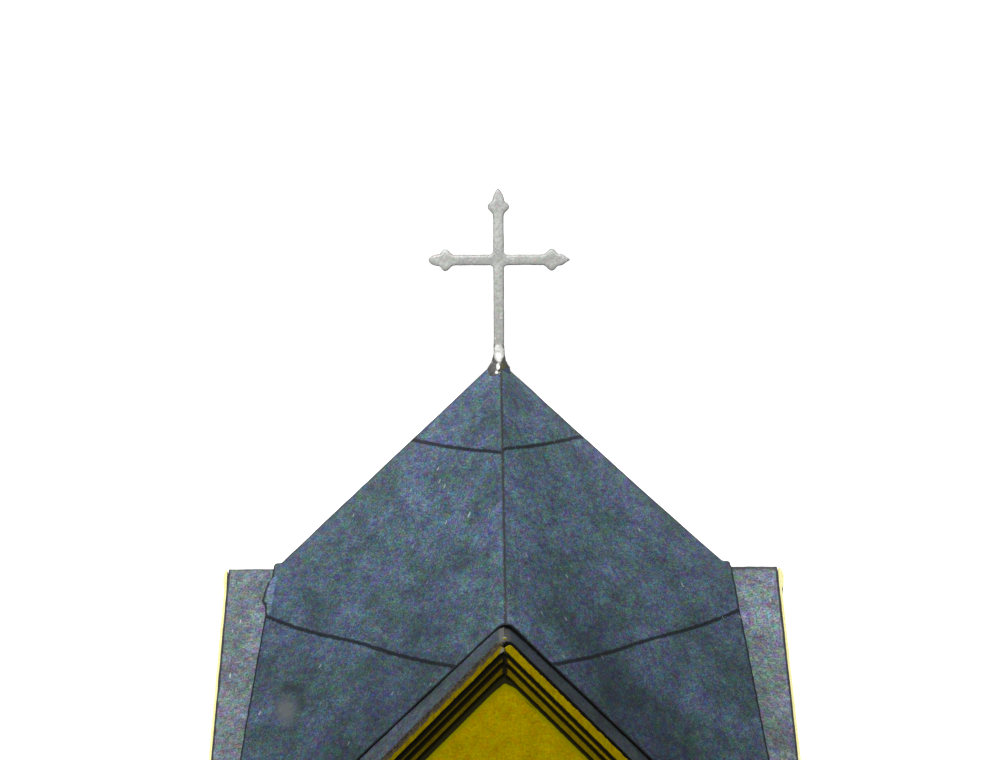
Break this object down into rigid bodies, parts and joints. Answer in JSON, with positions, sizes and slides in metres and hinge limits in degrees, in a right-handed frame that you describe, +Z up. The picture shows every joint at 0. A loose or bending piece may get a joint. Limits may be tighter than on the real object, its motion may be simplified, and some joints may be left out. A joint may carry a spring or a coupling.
{
  "type": "card model church tower head with four gables and a cross",
  "caption": "Head of a card model church tower: a blue pyramid roof set over yellow gables with layered cornices, topped by a budded cross.",
  "frame": {"origin": "on the floor under the apex, in the middle of the square of walls that the model stands on", "axes": "+Z up along the shaft of the cross, -Y out of the front gable, +X to the right of someone who faces the front gable"},
  "size_m": [0.0362, 0.0362, 0.0462],
  "materials": {
    "slate_print": "matte",
    "yellow_print": "matte",
    "silver_paint": "satin",
    "dried_glue": "gloss"
  },
  "bodies": {
    "root": {"roof_front_right": "slate_print", "front_hood_left": "slate_print", "front_fascia_left": "yellow_print", "front_middle_strip_left": "yellow_print", "front_inner_strip_left": "yellow_print", "front_hood_right": "slate_print", "front_fascia_right": "yellow_print", "front_middle_strip_right": "yellow_print", "front_inner_strip_right": "yellow_print", "front_gable_wall": "yellow_print", "roof_right_back": "slate_print", "right_hood_left": "slate_print", "right_fascia_left": "yellow_print", "right_middle_strip_left": "yellow_print", "right_inner_strip_left": "yellow_print", "right_hood_right": "slate_print", "right_fascia_right": "yellow_print", "right_middle_strip_right": "yellow_print", "right_inner_strip_right": "yellow_print", "right_gable_wall": "yellow_print", "roof_back_left": "slate_print", "back_hood_left": "slate_print", "back_fascia_left": "yellow_print", "back_middle_strip_left": "yellow_print", "back_inner_strip_left": "yellow_print", "back_hood_right": "slate_print", "back_fascia_right": "yellow_print", "back_middle_strip_right": "yellow_print", "back_inner_strip_right": "yellow_print", "back_gable_wall": "yellow_print", "roof_left_front": "slate_print", "left_hood_left": "slate_print", "left_fascia_left": "yellow_print", "left_middle_strip_left": "yellow_print", "left_inner_strip_left": "yellow_print", "left_hood_right": "slate_print", "left_fascia_right": "yellow_print", "left_middle_strip_right": "yellow_print", "left_inner_strip_right": "yellow_print", "left_gable_wall": "yellow_print", "cross": "silver_paint", "cross_glue": "dried_glue"}
  },
  "joints": []
}
